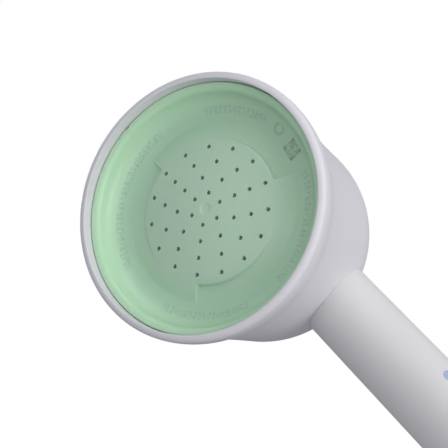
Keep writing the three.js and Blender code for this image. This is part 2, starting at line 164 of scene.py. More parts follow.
print("a lathe of 3 points by 8 sides has", len(lathe([(1, 0), (2, 1), (1, 2)], 8)[1]), "faces")

# %% [markdown]
# ## Curves, rounded corners and wires
#
# A moulded piece has no sharp corner: the tool that cuts the mould leaves a small radius. Each
# profile below lists only its true corners, and one helper rounds them. A cubic curve draws the
# long free shapes, and a sweep draws wires and fibres.

# %% Curves and sweeps
def bezier(start, pull_a, pull_b, end, steps):
    """Points along a cubic curve, without its start."""
    corners = [Vector(point) for point in (start, pull_a, pull_b, end)]
    points = []
    for i in range(1, steps + 1):
        t = i / steps
        shares = ((1 - t) ** 3, 3 * t * (1 - t) ** 2, 3 * t * t * (1 - t), t**3)
        at = sum((corner * share for corner, share in zip(corners, shares)), Vector((0, 0)))
        points.append((at.x, at.y))
    return points


def softened(profile, radius=0.3, steps=3):
    """Rounds the corners of a profile. Its ends stay where they are if they lie on the axis."""
    on_axis = profile[0][0] == 0
    result = []
    for i, corner in enumerate(profile):
        if on_axis and i in (0, len(profile) - 1):
            result.append(corner)
            continue
        here = Vector(corner)
        before = Vector(profile[i - 1]) - here
        after = Vector(profile[(i + 1) % len(profile)]) - here
        reach = min(radius, 0.45 * before.length, 0.45 * after.length)
        a = here + before.normalized() * reach
        b = here + after.normalized() * reach
        for k in range(steps + 1):
            t = k / steps
            result.append(tuple(a * (1 - t) ** 2 + here * 2 * t * (1 - t) + b * t * t))
    return result


def swept(path, radius, sides=10):
    """A round wire along a list of points, closed at both ends."""
    path = [Vector(point) for point in path]
    across = (path[1] - path[0]).orthogonal().normalized()
    loops = [[path[0]]]
    for i, centre in enumerate(path):
        ahead = (path[min(i + 1, len(path) - 1)] - path[max(i - 1, 0)]).normalized()
        across = (across - ahead * across.dot(ahead)).normalized()
        over = ahead.cross(across)
        turns = [tau * k / sides for k in range(sides)]
        loops.append([centre + (across * cos(a) + over * sin(a)) * radius for a in turns])
    loops.append([path[-1]])
    return loft(loops)


print("a softened square has", len(softened([(1, 0), (2, 0), (2, 1), (1, 1)])), "points")

# %% [markdown]
# ## Repeats, blocks and sectors
#
# Holes, lugs and ribs repeat round an axis. A repeat is made by turning one form, so that its size
# is stated once.

# %% Repeats and sectors
def together(*forms):
    """Several forms as one, side by side."""
    points, faces = [], []
    for form_points, form_faces in forms:
        faces += [[corner + len(points) for corner in face] for face in form_faces]
        points += form_points
    return points, faces


def placed(form, matrix):
    return [matrix @ Vector(point) for point in form[0]], form[1]


def around(count, radius, form, start=0.0):
    """Copies of a form on a circle, each turned with its place. The start is in degrees."""
    copies = []
    for i in range(count):
        turn = Matrix.Rotation(radians(start + 360 * i / count), 4, "Z")
        copies.append(placed(form, turn @ Matrix.Translation((radius, 0, 0))))
    return together(*copies)


def sector(inner, outer, low, high, middle, span, steps=12):
    """A block of a ring, centred on an angle. Angles are in degrees."""
    loops = []
    for i in range(steps + 1):
        turn = radians(middle + span * (i / steps - 0.5))
        corners = ((inner, low), (outer, low), (outer, high), (inner, high))
        loops.append([(r * cos(turn), r * sin(turn), z) for r, z in corners])
    caps = [[tuple(sum(axis) / 4 for axis in zip(*loop))] for loop in (loops[0], loops[-1])]
    return loft([caps[0], *loops, caps[1]])


def rod(radius, low, high, sides=48):
    return lathe([(0, low), (radius, low), (radius, high), (0, high)], sides)


print("six rods hold", len(around(6, 5, rod(1, 0, 2, 12))[1]), "faces")

# %% [markdown]
# ## Cutting and joining
#
# A drilled hole or a side branch isn't a loft. Blender's Boolean modifier cuts one closed mesh with
# another. It is used inside one small function, which makes two passing objects, reads the result
# and removes them again, so that later cells stay short.

# %% Booleans
MERGE = 0.001  # points closer than this, in millimetres, are one


def mesh_from(form, name, scale=1.0):
    mesh = bpy.data.meshes.new(name)
    mesh.from_pydata([Vector(point) * scale for point in form[0]], [], form[1])
    work = bmesh.new()
    work.from_mesh(mesh)
    bmesh.ops.remove_doubles(work, verts=work.verts, dist=MERGE * scale)
    bmesh.ops.recalc_face_normals(work, faces=work.faces)
    work.to_mesh(mesh)
    work.free()
    return mesh


def combined(form, tool, operation):
    passing = []
    for part in (form, tool):
        thing = bpy.data.objects.new("passing", mesh_from(part, "passing"))
        bpy.context.scene.collection.objects.link(thing)
        passing.append(thing)
    modifier = passing[0].modifiers.new("combine", "BOOLEAN")
    modifier.operation = operation
    modifier.solver = "EXACT"
    modifier.object = passing[1]
    bpy.context.view_layer.update()
    done = passing[0].evaluated_get(bpy.context.evaluated_depsgraph_get()).to_mesh()
    points = [vertex.co.copy() for vertex in done.vertices]
    faces = [list(face.vertices) for face in done.polygons]
    for thing in passing:
        mesh = thing.data
        bpy.data.objects.remove(thing)
        bpy.data.meshes.remove(mesh)
    return points, faces


def cut(form, *tools):
    for tool in tools:
        form = combined(form, tool, "DIFFERENCE")
    return form


def joined(form, *others):
    for other in others:
        form = combined(form, other, "UNION")
    return form


print("a washer cut from a disc has", len(cut(rod(4, 0, 1, 24), rod(1, -1, 2, 12))[1]), "faces")

# %% [markdown]
# ## Shader maths in plain Python
#
# A procedural finish is sums and products of numbers that change over the surface. Wrapping a
# node's socket in a small class lets them be written as ordinary expressions: each operator adds
# one Math node. Colours don't go through Math nodes, which would turn them grey, so mixing two
# colours has a method of its own. Every other kind of node comes from one method, which sets the
# node's options first and then its sockets.

# %% Wires
class Wire:
    """A node's output that takes part in Python expressions."""

    def __init__(self, shader, socket):
        self.shader = shader
        self.socket = socket

    def maths(self, operation, *values):
        return self.shader.node("Math", {"operation": operation}, dict(enumerate(values)))

    def __add__(self, other):
        return self.maths("ADD", self, other)

    def __radd__(self, other):
        return self.maths("ADD", other, self)

    def __sub__(self, other):
        return self.maths("SUBTRACT", self, other)

    def __rsub__(self, other):
        return self.maths("SUBTRACT", other, self)

    def __mul__(self, other):
        return self.maths("MULTIPLY", self, other)

    def __rmul__(self, other):
        return self.maths("MULTIPLY", other, self)

    def __truediv__(self, other):
        return self.maths("DIVIDE", self, other)

    def __abs__(self):
        return self.maths("ABSOLUTE", self)

    def above(self, edge, soft):
        """0 below an edge and 1 above it, with a soft change of that width."""
        values = {"Value": self, "From Min": edge - soft / 2, "From Max": edge + soft / 2}
        return self.shader.node("MapRange", {"interpolation_type": "SMOOTHSTEP"}, values)

    def between(self, low, high, soft):
        return self.above(low, soft) * (1 - self.above(high, soft))


print("a wire knows", len([name for name in vars(Wire) if name.startswith("__")]), "special names")

# %% [markdown]
# ### A material under construction
#
# A finish needs coordinates that stay with the piece when it moves. Blender's object coordinates do
# that. Pieces of the tilted head are easier to finish in the head's own frame, so a Mapping node
# carries the point there first. Three helpers on top of it cover every finish: noise of a size in
# millimetres, a mix of two colours, and a bump of a depth in millimetres.

# %% Shader kit
class Shader:
    """A material under construction. Its coordinates are those of the given frame."""

    def __init__(self, name, own_frame=UPRIGHT):
        self.material = bpy.data.materials.new(name)
        self.material.use_nodes = True
        self.tree = self.material.node_tree
        self.tree.nodes.clear()
        carried = own_frame.inverted()
        sockets = {"Location": carried.translation, "Rotation": carried.to_euler()}
        sockets["Vector"] = self.node("TexCoord", output="Object")
        self.place = self.node("Mapping", {"vector_type": "POINT"}, sockets)

    def node(self, kind, options=None, sockets=None, output=0):
        made = self.tree.nodes.new("ShaderNode" + kind)
        for option, value in (options or {}).items():
            setattr(made, option, value)
        for key, value in (sockets or {}).items():
            if isinstance(value, Wire):
                self.tree.links.new(value.socket, made.inputs[key])
            else:
                made.inputs[key].default_value = value
        return Wire(self, made.outputs[output])

    def axis(self, letter):
        """One coordinate of the point on the piece, in millimetres, in the finish's own frame."""
        return self.node("SeparateXYZ", None, {0: self.place}, output=letter) / MM

    def length(self, x, y):
        """Distance from the middle, for a point x across and y up."""
        return self.node("Math", {"operation": "SQRT"}, {0: x * x + y * y})

    def noise(self, size, detail=3.0, stretch=(1, 1, 1)):
        """Soft random values between 0 and 1, with features about that many millimetres wide."""
        pulled = self.node("VectorMath", {"operation": "MULTIPLY"}, {0: self.place, 1: stretch})
        sockets = {"Vector": pulled, "Scale": 1 / (size * MM), "Detail": detail}
        return self.node("TexNoise", None, sockets)

    def mixed(self, share, first, second):
        """One colour at share 0, the other at share 1."""
        colours = [c if isinstance(c, Wire) else (*c, 1) for c in (first, second)]
        sockets = {0: share, 6: colours[0], 7: colours[1]}
        return self.node("Mix", {"data_type": "RGBA"}, sockets, output=2)

    def bump(self, height, depth, strength=1.0, under=None):
        """Turns a height between 0 and 1 into a slope. The depth is in millimetres."""
        sockets = {"Height": height, "Distance": depth * MM, "Strength": strength}
        if under:
            sockets["Normal"] = under
        return self.node("Bump", None, sockets)

    def finished(self, **sockets):
        """Adds the surface shader. A socket's name is written with _ for a space."""
        named = {key.replace("_", " "): value for key, value in sockets.items()}
        surface = self.node("BsdfPrincipled", None, named)
        end = self.tree.nodes.new("ShaderNodeOutputMaterial")
        self.tree.links.new(surface.socket, end.inputs["Surface"])
        print("finish", self.material.name, "has", len(self.tree.nodes), "nodes")
        return self.material


print("noise with features 2 mm wide has scale", 1 / (2 * MM))

# %% [markdown]
# ## Making a piece
#
# Every piece goes through the same steps: build the mesh at real size and in its place, shade it
# smooth but keep true corners sharp, give it its finish, and tie it to the body that carries it.
# Then it stands in for its plain solid. The place goes into the mesh and not into the object, as in
# the engineering model, so the object's box fits it closely.

# %% Pieces
SHARP = 38  # degrees above which an edge stays sharp


def make(name, form, finish, node, place=UPRIGHT, body="housing"):
    mesh = mesh_from(form, name, MM)
    mesh.transform(place)
    mesh.materials.append(finish)
    mesh.shade_smooth()
    mesh.set_sharp_from_angle(angle=radians(SHARP))
    piece = bpy.data.objects.new(name, mesh)
    bpy.context.scene.collection.objects.link(piece)
    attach(piece, body)
    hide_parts(node)
    print(name, "has", len(mesh.polygons), "faces")
    return piece


# %% [markdown]
# # Finishes
#
# ## White moulded plastic
#
# The bell and the handle are moulded ABS with a fine satin texture. Such a surface isn't flat to
# the eye: the mould leaves a very fine grain, cooling leaves a faint long waviness, and handling
# leaves spots that are a little glossier. Three noises at those three sizes give this, and each is
# kept weak. The handle is the same plastic with a pad-printed blue dot.

# %% White plastic
PRINT_BLUE = (0.40, 0.47, 0.66)
DOT = {"height": 119.6, "turn": -29.0, "radius": 3.0}  # the turn is in degrees from X


def printed_dot(shader):
    """1 inside the blue dot on the front of the handle."""
    turn = radians(DOT["turn"])
    x, y = shader.axis("X"), shader.axis("Y")
    sideways = x * -sin(turn) + y * cos(turn)
    upwards = shader.axis("Z") - DOT["height"]
    outward = x * cos(turn) + y * sin(turn)
    distance = shader.length(sideways, upwards)
    return (1 - distance.above(DOT["radius"], 0.15)) * outward.above(0, 1)


def white_plastic(name, pale, deep, dot=False):
    shader = Shader(name)
    colour = shader.mixed(shader.noise(22, 2), deep, pale)
    roughness = 0.48 + 0.10 * shader.noise(7, 4)
    if dot:
        printed = printed_dot(shader)
        colour = shader.mixed(printed, colour, PRINT_BLUE)
        roughness = roughness - 0.12 * printed
    grain = shader.bump(shader.noise(0.35, 2), 0.004)
    normal = shader.bump(shader.noise(12, 1), 0.02, under=grain)
    return shader.finished(
        Base_Color=colour,
        Roughness=roughness,
        Normal=normal,
        Specular_IOR_Level=0.35,
        Subsurface_Weight=0.06,
        Subsurface_Radius=(1.0, 1.0, 1.0),
        Subsurface_Scale=1.2 * MM,
    )


bell_white = white_plastic("bell_white", (0.70, 0.70, 0.73), (0.67, 0.67, 0.70))
handle_white = white_plastic("handle_white", (0.74, 0.74, 0.74), (0.71, 0.71, 0.71), dot=True)
nipple_white = white_plastic("nipple_white", (0.70, 0.70, 0.71), (0.67, 0.67, 0.68))

# %% [markdown]
# ## Green spray plate
#
# The plate is a pale, slightly cloudy green. Light enters the plastic and comes out again a little
# further on, which fills its shadows with a stronger green. Subsurface scattering does that, and it
# is steered only by constants. Round the plate's flat ring runs a faint grey laser marking. It
# could be an image, but wording doesn't belong on a shared part, so it is replaced by plain marks:
# four arcs of small random blocks, a ring and a mottled square.
#
# The marks are worked out from two numbers, the radius and the angle of the point on the plate. A
# white noise that is read once for each cell of a grid gives the blocks.

# %% Marks on the plate
ARC_MARKS = ((9.7, 48.4), (-93.0, -28.5), (-166.9, -114.3), (77.3, 161.6))
ARC_BAND = (30.8, 33.2)  # radii between which the arcs of marks lie
GROUP = 2.9  # degrees from one group of small blocks to the next
RING_MARK = {"radius": 32.3, "turn": -0.6, "size": 1.6}
SQUARE_MARK = {"radius": 31.6, "turn": -15.2, "size": 2.6}
MARKED_LEVELS = (-10.6, -8.6)  # Z of the flat ring's face, the only one that is marked


def random_blocks(shader, across, out, wide, high, chance):
    """Small blocks on a grid, each there or not by chance, so nothing can be read in them."""
    column = shader.node("Math", {"operation": "FLOOR"}, {0: across / wide})
    row = shader.node("Math", {"operation": "FLOOR"}, {0: out / high})
    place = shader.node("CombineXYZ", None, {0: column, 1: row})
    value = shader.node("TexWhiteNoise", {"noise_dimensions": "2D"}, {"Vector": place})
    return value.above(1 - chance, 0.02)


def arc_marks(shader, radius, turn):
    low, high = ARC_BAND
    blocks = random_blocks(shader, turn, radius - low, GROUP / 5, (high - low) / 5, 0.55)
    share = turn / GROUP - shader.node("Math", {"operation": "FLOOR"}, {0: turn / GROUP})
    arcs = turn.between(*ARC_MARKS[0], 0.5)
    for first, last in ARC_MARKS[1:]:
        arcs = arcs + turn.between(first, last, 0.5)
    return blocks * share.between(0.02, 0.8, 0.05) * radius.between(low, high, 0.1) * arcs


def local_mark(shader, mark):
    """Distances across and out from the middle of a mark, in millimetres."""
    turn = radians(mark["turn"])
    x, y = shader.axis("X"), shader.axis("Y")
    out = x * cos(turn) + y * sin(turn) - mark["radius"]
    across = y * cos(turn) - x * sin(turn)
    return across, out


def plate_marks(shader):
    x, y = shader.axis("X"), shader.axis("Y")
    radius = shader.length(x, y)
    turn = shader.node("Math", {"operation": "ARCTAN2"}, {0: y, 1: x}) * degrees(1)
    size = RING_MARK["size"]
    ring = shader.length(*local_mark(shader, RING_MARK)).between(size - 0.45, size + 0.35, 0.4)
    across, out = local_mark(shader, SQUARE_MARK)
    reach = shader.node("Math", {"operation": "MAXIMUM"}, {0: abs(across), 1: abs(out)})
    size = SQUARE_MARK["size"]
    inside = 1 - reach.above(size, 0.25)
    corners = (abs(across) + abs(out)).above(1.35 * size, 0.6)
    blocks = random_blocks(shader, across, out, size / 4.5, size / 4.5, 0.5)
    square = inside * (0.16 + 0.42 * blocks + 0.5 * corners)
    marks = arc_marks(shader, radius, turn) * 0.2 + ring * 0.26 + square * 0.72
    return marks * shader.axis("Z").between(*MARKED_LEVELS, 0.2)


print("marks cover", round(sum(last - first for first, last in ARC_MARKS)), "degrees of the plate")

# %% [markdown]
# ### The green itself
#
# Three greens meet without a border. The flat ring is the deepest. The thick dome in the middle is
# painted a little greyer, a painted sheen for the soft reflection on it, and the wall at the edge is
# painted brighter and fresher, a painted highlight and glow for the light on the thin wall. Both fade
# by radius.

# %% Green plastic
GREEN = {"pale": (0.465, 0.685, 0.505), "deep": (0.425, 0.65, 0.47)}
# painted sheen: the greyer green of the dome stands in for a soft reflection on it
PAINTED_SHEEN_GREEN = (0.48, 0.675, 0.52)
# painted highlight and glow: the brighter green of the wall stands in for the light on it
PAINTED_HIGHLIGHT_GREEN = (0.51, 0.765, 0.525)
SHEEN_FADE = (24.0, 5.0)  # the radius where two greens meet, and the width of the fade
HIGHLIGHT_FADE = (33.0, 6.0)
LASER_GREY = (0.13, 0.17, 0.14)


def green_plastic(name):
    shader = Shader(name, HEAD)
    colour = shader.mixed(shader.noise(16, 2), GREEN["deep"], GREEN["pale"])
    radius = shader.length(shader.axis("X"), shader.axis("Y"))
    # painted sheen: the middle of the dome is painted greyer
    colour = shader.mixed(1 - radius.above(*SHEEN_FADE), colour, PAINTED_SHEEN_GREEN)
    # painted highlight and glow: the wall at the edge is painted brighter
    colour = shader.mixed(0.7 * radius.above(*HIGHLIGHT_FADE), colour, PAINTED_HIGHLIGHT_GREEN)
    marks = plate_marks(shader)
    colour = shader.mixed(marks, colour, LASER_GREY)
    grain = shader.bump(shader.noise(0.5, 2), 0.004)
    return shader.finished(
        Base_Color=colour,
        Roughness=0.33 + 0.10 * shader.noise(6, 3) + 0.2 * marks,
        Normal=shader.bump(shader.noise(14, 1), 0.03, under=grain),
        Subsurface_Weight=0.35,
        Subsurface_Radius=(0.45, 1.0, 0.55),
        Subsurface_Scale=2.2 * MM,
    )


plate_green = green_plastic("plate_green")

# %% [markdown]
# ## Finishes of the inner pieces
#
# These show when the shower head is opened or looked into from the hose end. Each has one thing
# that tells it apart: uncoloured plastic is milky with flow marks, clear plastic lets light
# through, the resin is amber with the cut ends of the fibres in it, rubber is dull with a fine
# bloom, and the steel has drawn lines.

# %% Milky, clear and blue plastics
def milky_plastic(name, pale, deep, roughness=0.45):
    shader = Shader(name)
    flow = shader.noise(9, 4, (1, 1, 0.3))
    return shader.finished(
        Base_Color=shader.mixed(flow, deep, pale),
        Roughness=roughness + 0.15 * shader.noise(3, 3),
        Normal=shader.bump(shader.noise(0.6, 3), 0.008),
        Subsurface_Weight=0.15,
        Subsurface_Radius=(1.0, 0.9, 0.8),
        Subsurface_Scale=1.0 * MM,
    )


def clear_plastic(name):
    shader = Shader(name)
    return shader.finished(
        Base_Color=shader.mixed(shader.noise(12, 2), (0.80, 0.87, 0.90), (0.88, 0.93, 0.95)),
        Roughness=0.10 + 0.08 * shader.noise(4, 3),
        Normal=shader.bump(shader.noise(5, 1), 0.01),
        Transmission_Weight=0.85,
        IOR=1.49,
    )


milky = milky_plastic("milky_plastic", (0.80, 0.79, 0.72), (0.74, 0.73, 0.66))
blue = milky_plastic("blue_acetal", (0.09, 0.19, 0.43), (0.07, 0.15, 0.35), roughness=0.3)
clear = clear_plastic("clear_plastic")

# %% [markdown]
# ### Resin, fibre, rubber and steel
#
# The cut face of the resin shows every fibre end as a pale dot. Hundreds of tiny discs could be
# modelled, but a Voronoi pattern read in the plane of the disc puts one dot in each cell for free.
# Fibre and rubber need only a fine grain, and drawn steel is a noise stretched along the drawing.

# %% Resin, fibre, rubber and steel
def potting_resin(name):
    """Amber resin with the open ends of the fibres as pale dots."""
    shader = Shader(name, HEAD)
    options = {"feature": "F1", "voronoi_dimensions": "2D"}
    cells = shader.node("TexVoronoi", options, {"Vector": shader.place, "Scale": 1 / (1.1 * MM)})
    ends = 1 - cells.above(0.32, 0.1)
    resin = shader.mixed(shader.noise(8, 3), (0.58, 0.42, 0.16), (0.68, 0.52, 0.24))
    return shader.finished(
        Base_Color=shader.mixed(ends, resin, (0.85, 0.83, 0.76)),
        Roughness=0.22 + 0.4 * ends,
        Normal=shader.bump(ends, 0.05),
        Coat_Weight=0.3,
    )


def hollow_fibre(name):
    shader = Shader(name)
    return shader.finished(
        Base_Color=shader.mixed(shader.noise(1.5, 4), (0.80, 0.78, 0.72), (0.92, 0.91, 0.87)),
        Roughness=0.75 + 0.15 * shader.noise(0.8, 2),
        Normal=shader.bump(shader.noise(0.12, 2), 0.01),
    )


def black_rubber(name):
    shader = Shader(name)
    bloom = shader.noise(2.5, 5)
    return shader.finished(
        Base_Color=shader.mixed(bloom, (0.010, 0.010, 0.011), (0.028, 0.028, 0.030)),
        Roughness=0.52 + 0.25 * bloom,
        Normal=shader.bump(shader.noise(0.25, 3), 0.01),
    )


def drawn_steel(name):
    shader = Shader(name)
    lines = shader.noise(0.5, 3, (1, 1, 0.06))
    return shader.finished(
        Base_Color=shader.mixed(lines, (0.50, 0.51, 0.53), (0.66, 0.67, 0.69)),
        Metallic=1.0,
        Roughness=0.20 + 0.2 * lines,
        Normal=shader.bump(lines, 0.006),
    )


resin = potting_resin("potting_resin")
fibre = hollow_fibre("hollow_fibre")
rubber = black_rubber("black_rubber")
steel = drawn_steel("drawn_steel")

# %% [markdown]
# # The pieces
#
# ## Bell
#
# The bell is one injection moulding. Its outside is drawn with three long curves: a rolled rim that
# flares in to a shallow waist, a slightly tapered drum, and a full rounded back. A lathe of that
# outline is joined with the spigot that plugs into the handle, and then the filter chamber, the
# duct and the socket for the water tube are cut out of it.

# %% Outline of the bell
WALL = 2.35
WAIST = (38.9, 12.5)  # radius and depth
DRUM_END = (33.6, 47.0)


def bell_outside():
    """[radius, depth] points from the front of the rim to the middle of the back."""
    front, shoulder = (RIM_RADIUS - 1.8, 0), (RIM_RADIUS, 1.8)
    roll = bezier(front, (RIM_RADIUS - 0.7, 0.1), (RIM_RADIUS, 0.7), shoulder, 14)
    flare = bezier(shoulder, (RIM_RADIUS, 5.8), (WAIST[0] + 1, WAIST[1] - 3.5), WAIST, 14)
    taper = bezier(WAIST, (WAIST[0] - 2.6, 24), (DRUM_END[0] + 1.3, 36), DRUM_END, 22)
    back = bezier(DRUM_END, (DRUM_END[0] - 1, 58), (26, BELL_DEPTH), (0, BELL_DEPTH), 36)
    return [front, *roll, *flare, *taper, *back]


OUTLINE = bell_outside()


def bell_radius(depth):
    """Outside radius of the bell at a depth behind the rim."""
    if depth <= 0:
        return OUTLINE[0][0]
    for (r0, t0), (r1, t1) in zip(OUTLINE, OUTLINE[1:]):
        if t0 < depth <= t1:
            return r0 + (r1 - r0) * (depth - t0) / (t1 - t0)
    return 0.0


def by_depth(profile):
    """Turns [radius, depth] points into [radius, z] points of the head's frame."""
    return [(radius, -depth) for radius, depth in profile]


print("the bell is", round(2 * bell_radius(WAIST[1]), 1), "mm wide at its waist")

# %% [markdown]
# ### The hollow of the bell
#
# In the mould, steel cores leave the pocket for the plate, the seat for the locking ring, the
# filter chamber and the way for the water. Each core is a turned solid here too, and is cut out of
# the block, which keeps every inner wall a true round.

# %% Bell
POCKET_RADIUS = 39.2
RING_WALL = {"radius": 36.1, "front": 11.4, "back": 17.6}
SPIGOT = {"radius": 9.2, "foot": 154.0, "root": 184.0}
SOCKET = {"radius": 6.7, "top": 170.0}
DUCT_RADIUS = 5.0


def bell_chamber():
    steps = [
        (POCKET_RADIUS, 5.6),
        (RING_WALL["radius"], RING_WALL["front"]),
        (RING_WALL["radius"], RING_WALL["back"]),
        (35.3, RING_WALL["back"] + 0.6),
    ]
    drum = (DRUM_END[0] - WALL, DRUM_END[1])
    taper = bezier(steps[-1], (34, 26), (drum[0] + 0.3, 38), drum, 12)
    end = (0, BELL_DEPTH - WALL)
    back = bezier(drum, (drum[0] - 0.95, 56.5), (24, end[1]), end, 24)
    mouth = POCKET_RADIUS + 0.3
    lip = bezier((mouth, -0.1), (mouth - 0.25, 0), (POCKET_RADIUS, 0.1), (POCKET_RADIUS, 0.4), 6)
    return [(0, -1), (mouth, -1), (mouth, -0.1), *lip, *steps, *taper, *back]


def bell():
    to_head = HEAD.inverted()
    to_head.translation /= MM
    block = lathe([(0, 0), *by_depth(OUTLINE)], 192)
    spigot = placed(rod(SPIGOT["radius"], SPIGOT["foot"], SPIGOT["root"]), to_head)
    duct = placed(rod(DUCT_RADIUS, SPIGOT["foot"] - 1, AXES_MEET_Z - 20), to_head)
    socket = placed(rod(SOCKET["radius"], SPIGOT["foot"] - 1, SOCKET["top"]), to_head)
    chamber = lathe(by_depth(bell_chamber()), 192)
    return cut(joined(block, spigot), chamber, duct, socket)


make("bell", bell(), bell_white, "head_shell", HEAD)

# %% [markdown]
# ## Handle
#
# The handle is a plain round tube whose top is shaped to sit against the bell. Cutting it with the
# bell's outline would leave a knife edge. So each loop of the tube's upper end is found by walking
# up the wall until it meets the bell, once for every angle, and the last few loops turn a small
# radius over the edge.

# %% Handle
HANDLE_BORE = 9.5
EDGE = 0.12  # radius of the handle's upper edge
PRESSED = -0.02  # the handle is pressed a hair into the bell, so no light shows between them


def height_at_bell(radius, turn, clearance):
    """Height where a line up the handle's wall comes this close to the bell."""
    to_head = HEAD.inverted()
    low, high = SPIGOT["foot"], AXES_MEET_Z
    for _ in range(30):
        z = (low + high) / 2
        point = to_head @ (Vector((radius * cos(turn), radius * sin(turn), z)) * MM) / MM
        if hypot(point.x, point.y) > bell_radius(-point.z) + clearance:
            low = z
        else:
            high = z
    return low


def loop_at_bell(radius, clearance, sides):
    turns = [tau * i / sides for i in range(sides)]
    return [
        (radius * cos(turn), radius * sin(turn), height_at_bell(radius, turn, clearance))
        for turn in turns
    ]


def handle(sides=128):
    foot, radius = HANDLE.low, HANDLE.radius
    entry = [(HANDLE_BORE, foot), (radius - 1.6, foot), (radius - 0.6, foot + 1)]
    pulls = [(radius - 0.1, foot + 2.5), (radius, foot + 7)]
    swell = bezier(entry[-1], *pulls, (radius, foot + 12), 12)
    wall = [(radius, z) for z in (60, 100, 140, 165)]
    loops = [circle(r, z, sides) for r, z in [*entry, *swell, *wall]]
    for step in range(7):
        turn = step / 6 * pi / 2
        inset, clearance = EDGE * (1 - cos(turn)), PRESSED + EDGE * (1 - sin(turn))
        loops.append(loop_at_bell(radius - inset, clearance, sides))
    loops.append(loop_at_bell(HANDLE_BORE, PRESSED, sides))
    return loft(loops, ring=True)


make("handle", handle(), handle_white, "handle_tube")

# %% [markdown]
# ## Spray plate
#
# The plate is a shallow dish. Its middle is a dome with the holes in it. Round the dome run three
# finger ramps: each starts at an upright step, sunk to the level of the flat ring, and rises until
# it is flush with the dome again a third of a turn later. Outside the flat ring a steep wall climbs
# back to the edge.
#
# All of that is one height for every point of the face, so the surface stays smooth and needs no
# cutting.

# %% Heights on the plate
PLATE_CLOCK = 92.3  # degrees from X at which the holes and the ramps start
RAMPS = 3
EDGE_RADIUS = 39.0
EDGE_DEPTH = 3.4
LIP_WIDTH = 2.3
THICKNESS = 2.1
APEX_DEPTH = 4.9
DOME_RADIUS = 84.0
FIELD_RADIUS = 22.6
FLAT = {"inner": 28.4, "depth": 9.7}
DIMPLE = {"radius": 1.6, "deep": 0.2}


def eased(share):
    share = min(max(share, 0), 1)
    return share * share * (3 - 2 * share)


def dome_depth(radius):
    return APEX_DEPTH + DOME_RADIUS - sqrt(DOME_RADIUS**2 - radius**2)


def face_depth(radius, degrees_round):
    """Depth of the plate's front inside the flat ring."""
    share = ((degrees_round - PLATE_CLOCK) * RAMPS / 360) % 1
    dome = dome_depth(radius)
    slope = max(1 - 1.4 * share, 0) ** 1.15 * eased(share / 0.005)
    sunk = slope * eased((radius - FIELD_RADIUS + 0.3) / 0.7)
    depth = dome + sunk * max(FLAT["depth"] - dome, 0)
    depth += DIMPLE["deep"] * eased((DIMPLE["radius"] + 0.4 - radius) / 0.8)
    return depth if depth < FLAT["depth"] else FLAT["depth"]


print("the ramps are", round(FLAT["depth"] - dome_depth(FIELD_RADIUS), 2), "mm deep at their steps")

# %% [markdown]
# ### A grid for the heights
#
# The heights are read on a grid of angles and radii. An even grid would blur the upright steps of
# the ramps, or would need far too many points. So the lines are closer together where the height
# changes quickly: at the three steps, where the dome ends, and round the dimple in the middle.

# %% Grid of the plate
GRID_STEP = 1.5  # degrees
CLOSE_STEPS = (-0.3, 0, 0.1, 0.2, 0.3, 0.4, 0.5, 0.6, 0.9)  # degrees from a ramp's upright step


def apart(a, b):
    """Degrees between two angles, at most 180."""
    return abs((a - b + 180) % 360 - 180)


def plate_turns():
    """Angles of the grid, in degrees: even, and closer together at the three steps."""
    close = [PLATE_CLOCK + 360 * k / RAMPS + offset for k in range(RAMPS) for offset in CLOSE_STEPS]
    even = [PLATE_CLOCK + GRID_STEP * i for i in range(int(360 / GRID_STEP))]
    kept = [turn for turn in even if min(apart(turn, other) for other in close) > 0.45]
    return sorted({round(turn % 360, 4) for turn in close + kept})


def plate_radii():
    middle = [0.5, 1.0, 1.4, 1.55, 1.7, 1.85, 2.0, 2.4, 3.2]
    field = [4 + i for i in range(18)]
    edge = [FIELD_RADIUS + 0.1 * step for step in range(-3, 6)]
    ramp = [23.4 + 0.5 * i for i in range(12)]
    return middle + field + edge + ramp


PLATE_TURNS = plate_turns()
print("grid of the plate:", len(PLATE_TURNS), "angles by", len(plate_radii()), "radii")

# %% [markdown]
# ### From heights to a body
#
# The front of the grid carries the heights. The wall, the rounded lip and the skirt behind it are
# the same all the way round, so they are a profile, and the back of the grid repeats the front one
# wall thickness deeper. All these loops have the same angles, so one loft closes the whole plate.

# %% Plate body
SKIRT = {"inner": 30.8, "outer": 32.5, "end": 17.0}
WALL_FOOT = 33.2  # radius that the foot of the wall is drawn towards
FLANGE_RADIUS = 35.8
EDGE_BACK = 5.2  # depth of the back of the plate's edge


def plate_outside():
    """[radius, depth] points up the wall, over the lip, and down and up the skirt."""
    flat, edge, top = FLAT["depth"], EDGE_RADIUS, EDGE_DEPTH
    crest = edge - LIP_WIDTH
    start, brink, rounded = (FLAT["inner"] + 1, flat), (crest - 0.7, top + 2.0), (edge - 0.7, top)
    bowl = bezier(start, (WALL_FOOT, flat), (crest - 1.5, flat - 1.7), brink, 20)
    turn = bezier(brink, (crest - 0.35, top + 0.8), (crest - 0.1, top + 0.05), rounded, 14)
    lip = bezier(rounded, (edge - 0.2, top), (edge, top + 0.2), (edge, top + 0.8), 6)
    inner, outer, end = SKIRT["inner"], SKIRT["outer"], SKIRT["end"]
    flange = flat + THICKNESS - 0.5
    skirt = [(edge, EDGE_BACK), (FLANGE_RADIUS, flange), (outer + 0.3, flange), (outer, flange + 0.3)]
    skirt += [(outer, end - 0.3), (outer - 0.3, end), (inner, end), (inner, flat + THICKNESS)]
    return [start, *bowl, *turn, *lip, *skirt]


def plate_loop(radius, depths):
    """A loop of the plate, with one depth for each angle."""
    turns = [radians(turn) for turn in PLATE_TURNS]
    return [(radius * cos(turn), radius * sin(turn), -depth) for turn, depth in zip(turns, depths)]


